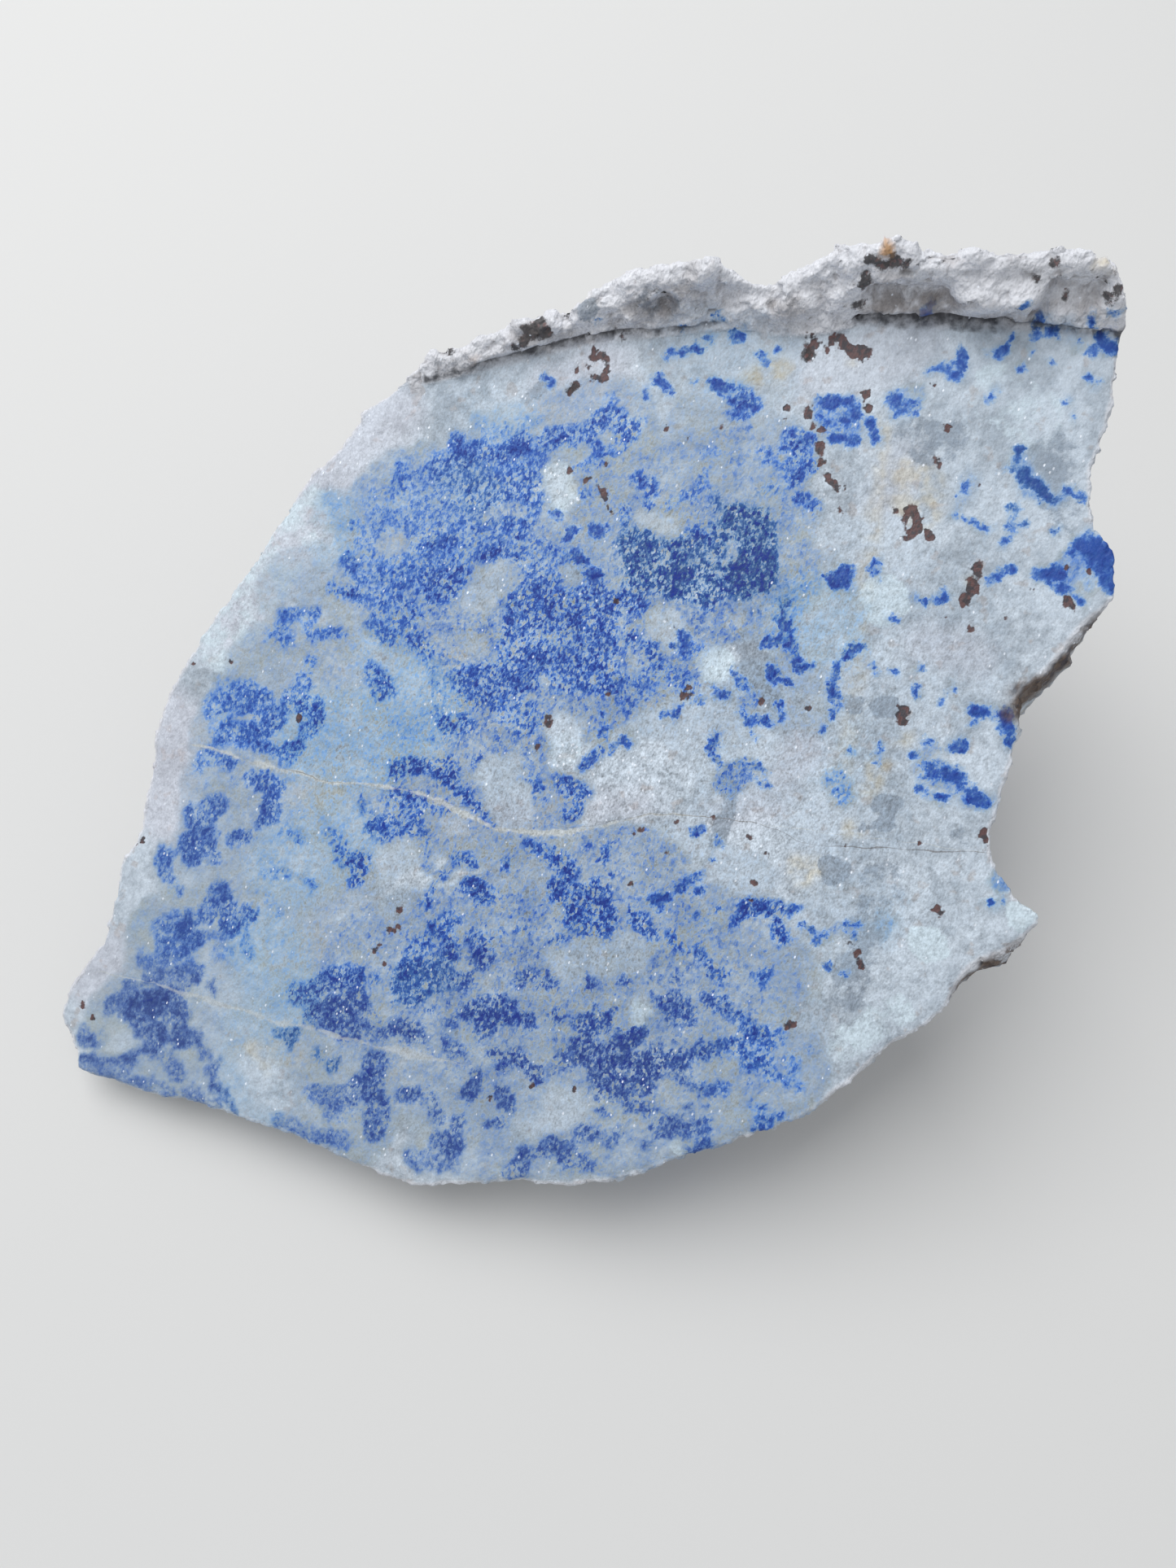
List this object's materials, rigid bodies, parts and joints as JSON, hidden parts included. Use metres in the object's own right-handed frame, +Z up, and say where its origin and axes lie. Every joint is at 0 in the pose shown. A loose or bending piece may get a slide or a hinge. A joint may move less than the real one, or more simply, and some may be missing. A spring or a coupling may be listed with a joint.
{
  "type": "rough lapis lazuli stone",
  "caption": "Rough lapis lazuli: a natural stone with one sawn face, a broken lip along its back edge and a broken underside that rests on a small flat spot.",
  "frame": {"origin": "on the surface that the stone rests on, below the middle of its bounding box", "axes": "+X to the right along the longest side, +Y to the back where the broken lip is, +Z up; the sawn face leans down to the front left"},
  "size_m": [0.1405, 0.1086, 0.0732],
  "materials": {
    "lapis": "matte"
  },
  "bodies": {
    "root": {"lapis_stone": "lapis"}
  },
  "joints": []
}
